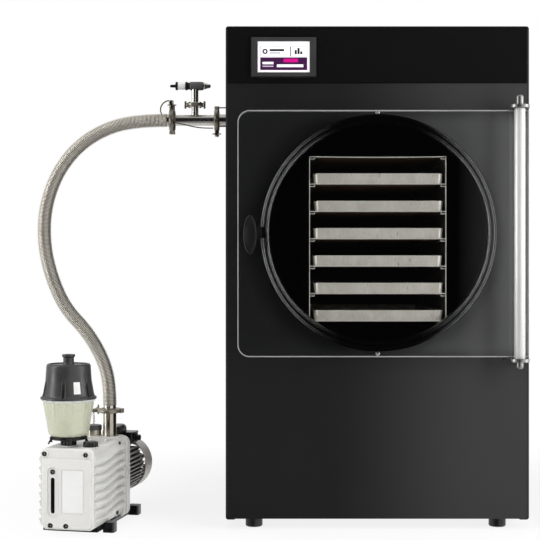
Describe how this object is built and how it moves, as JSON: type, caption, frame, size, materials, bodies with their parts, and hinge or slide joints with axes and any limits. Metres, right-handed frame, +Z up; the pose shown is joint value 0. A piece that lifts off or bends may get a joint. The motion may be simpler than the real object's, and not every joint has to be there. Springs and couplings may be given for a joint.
{
  "type": "freeze dryer",
  "caption": "Cabinet freeze dryer with a clear round-chamber door, tray rack, touch screen, vacuum gauge and a hose to a rotary-vane vacuum pump",
  "frame": {"origin": "on the floor, under the middle of the cabinet's footprint", "axes": "+Z up, -Y out of the front where the door is, +X to the right seen from the front"},
  "size_m": [1.1065, 0.913, 1.107],
  "materials": {
    "charcoal_powder_coat": "fine-texture charcoal powder coat",
    "black_powder_coat": "smooth black powder coat",
    "side_powder_coat": "charcoal powder coat on the folded sides and top",
    "rear_powder_coat": "charcoal powder coat",
    "galvanised_sheet": "plain galvanised sheet",
    "black_rubber": "moulded black rubber",
    "silicone_mat": "orange-brown silicone heater mat",
    "dark_grey_plastic": "dark grey moulded plastic",
    "black_plastic": "black moulded plastic",
    "screen_glass": "lit display under clear glass",
    "drum_lining": "matt black coated drum",
    "stainless_sheet": "satin stainless sheet",
    "stainless_polished": "polished stainless",
    "chrome_fittings": "bright vacuum fittings",
    "hose_steel": "corrugated stainless hose",
    "clear_acrylic": "clear acrylic with polished edges",
    "foam": "moulded insulating foam",
    "copper_tube": "drawn copper tube",
    "compressor_black": "black enamel",
    "condenser_fins": "aluminium fins and end plates",
    "green_board": "circuit board with parts",
    "brass_valve": "brass valve and drain tube",
    "red_lever": "dipped lever",
    "white_enamel": "off-white enamelled casting",
    "motor_grey": "light grey enamelled casting",
    "cover_grey": "warm grey painted cover",
    "bowl_plastic": "translucent cream moulding",
    "oil_window": "dark oil behind a clear window",
    "instrument": "dark grey gauge body",
    "black_steel_screws": "blacked screws"
  },
  "bodies": {
    "cabinet": {"base_pan": "galvanised_sheet", "bonding_wire": "black_rubber", "cabinet_port": "chrome_fittings", "cabinet_screws": "stainless_polished", "cabinet_wrap": "side_powder_coat", "compressor": "compressor_black", "condenser": "condenser_fins", "control_board": "green_board", "control_fascia": "black_powder_coat", "display_bezel": "dark_grey_plastic", "door_gasket": "black_rubber", "drain_valve": "brass_valve", "drum_insulation": "foam", "fan_motor": "galvanised_sheet", "fan_shroud": "compressor_black", "filter_bowl": "bowl_plastic", "filter_lid": "dark_grey_plastic", "filter_neck": "black_plastic", "front_panel": "charcoal_powder_coat", "heater_mats": "silicone_mat", "hinge_brackets": "stainless_polished", "hose_ends": "chrome_fittings", "latch_keeper": "black_plastic", "port_cap": "black_plastic", "power_inlet": "black_plastic", "pump_base": "black_plastic", "pump_fan_cover": "cover_grey", "pump_handle": "black_plastic", "pump_motor": "motor_grey", "pump_oil_case": "white_enamel", "pump_ports": "chrome_fittings", "pump_screws": "black_steel_screws", "rear_panel": "rear_powder_coat", "refrigerant_circuit": "copper_tube", "rubber_feet": "black_rubber", "shelf_rack": "stainless_sheet", "sight_glass": "oil_window", "terminal_box": "black_plastic", "touch_screen": "screen_glass", "tray_1": "stainless_sheet", "tray_2": "stainless_sheet", "tray_3": "stainless_sheet", "tray_4": "stainless_sheet", "tray_5": "stainless_sheet", "tray_6": "stainless_sheet", "vacuum_clamps": "chrome_fittings", "vacuum_drum": "drum_lining", "vacuum_gauge": "instrument", "vacuum_hose": "hose_steel", "vacuum_tee": "chrome_fittings"},
    "door": {"door_panel": "clear_acrylic", "hinge_tube": "stainless_polished", "door_screws": "stainless_polished"},
    "latch": {"latch_knob": "black_plastic", "latch_pawl": "black_steel_screws"},
    "condenser_fan": {"fan_blades": "black_plastic"},
    "motor_fan": {"pump_fan": "black_plastic"},
    "oil_filler": {"filler_cap": "black_plastic"},
    "switch_rocker": {"main_switch": "black_plastic"},
    "drain_handle": {"drain_lever": "red_lever"}
  },
  "joints": [
    {"name": "door_hinge", "type": "hinge", "parent": "cabinet", "child": "door", "pos_m": [0.3, -0.4473, 0.6495], "axis": [0, 0, 1], "range_deg": [0, 120]},
    {"name": "latch_turn", "type": "hinge", "parent": "door", "child": "latch", "pos_m": [-0.279, -0.42, 0.647], "axis": [0, 1, 0], "range_deg": [0, 90]},
    {"name": "condenser_fan_spin", "type": "hinge", "parent": "cabinet", "child": "condenser_fan", "pos_m": [0.11, 0.29, 0.205], "axis": [0, 1, 0], "continuous": true},
    {"name": "motor_fan_spin", "type": "hinge", "parent": "cabinet", "child": "motor_fan", "pos_m": [-0.59207, -0.10008, 0.104], "axis": [0.2079, 0.9781, 0], "continuous": true},
    {"name": "filler_cap_turn", "type": "hinge", "parent": "cabinet", "child": "oil_filler", "pos_m": [-0.62168, -0.44139, 0.196], "axis": [0, 0, 1], "range_deg": [0, 360]},
    {"name": "main_switch_rock", "type": "hinge", "parent": "cabinet", "child": "switch_rocker", "pos_m": [-0.222, 0.378, 0.12], "axis": [1, 0, 0], "range_deg": [0, 14]},
    {"name": "drain_lever_turn", "type": "hinge", "parent": "cabinet", "child": "drain_handle", "pos_m": [-0.12, 0.406, 0.3165], "axis": [0, 0, 1], "range_deg": [0, 90]}
  ]
}
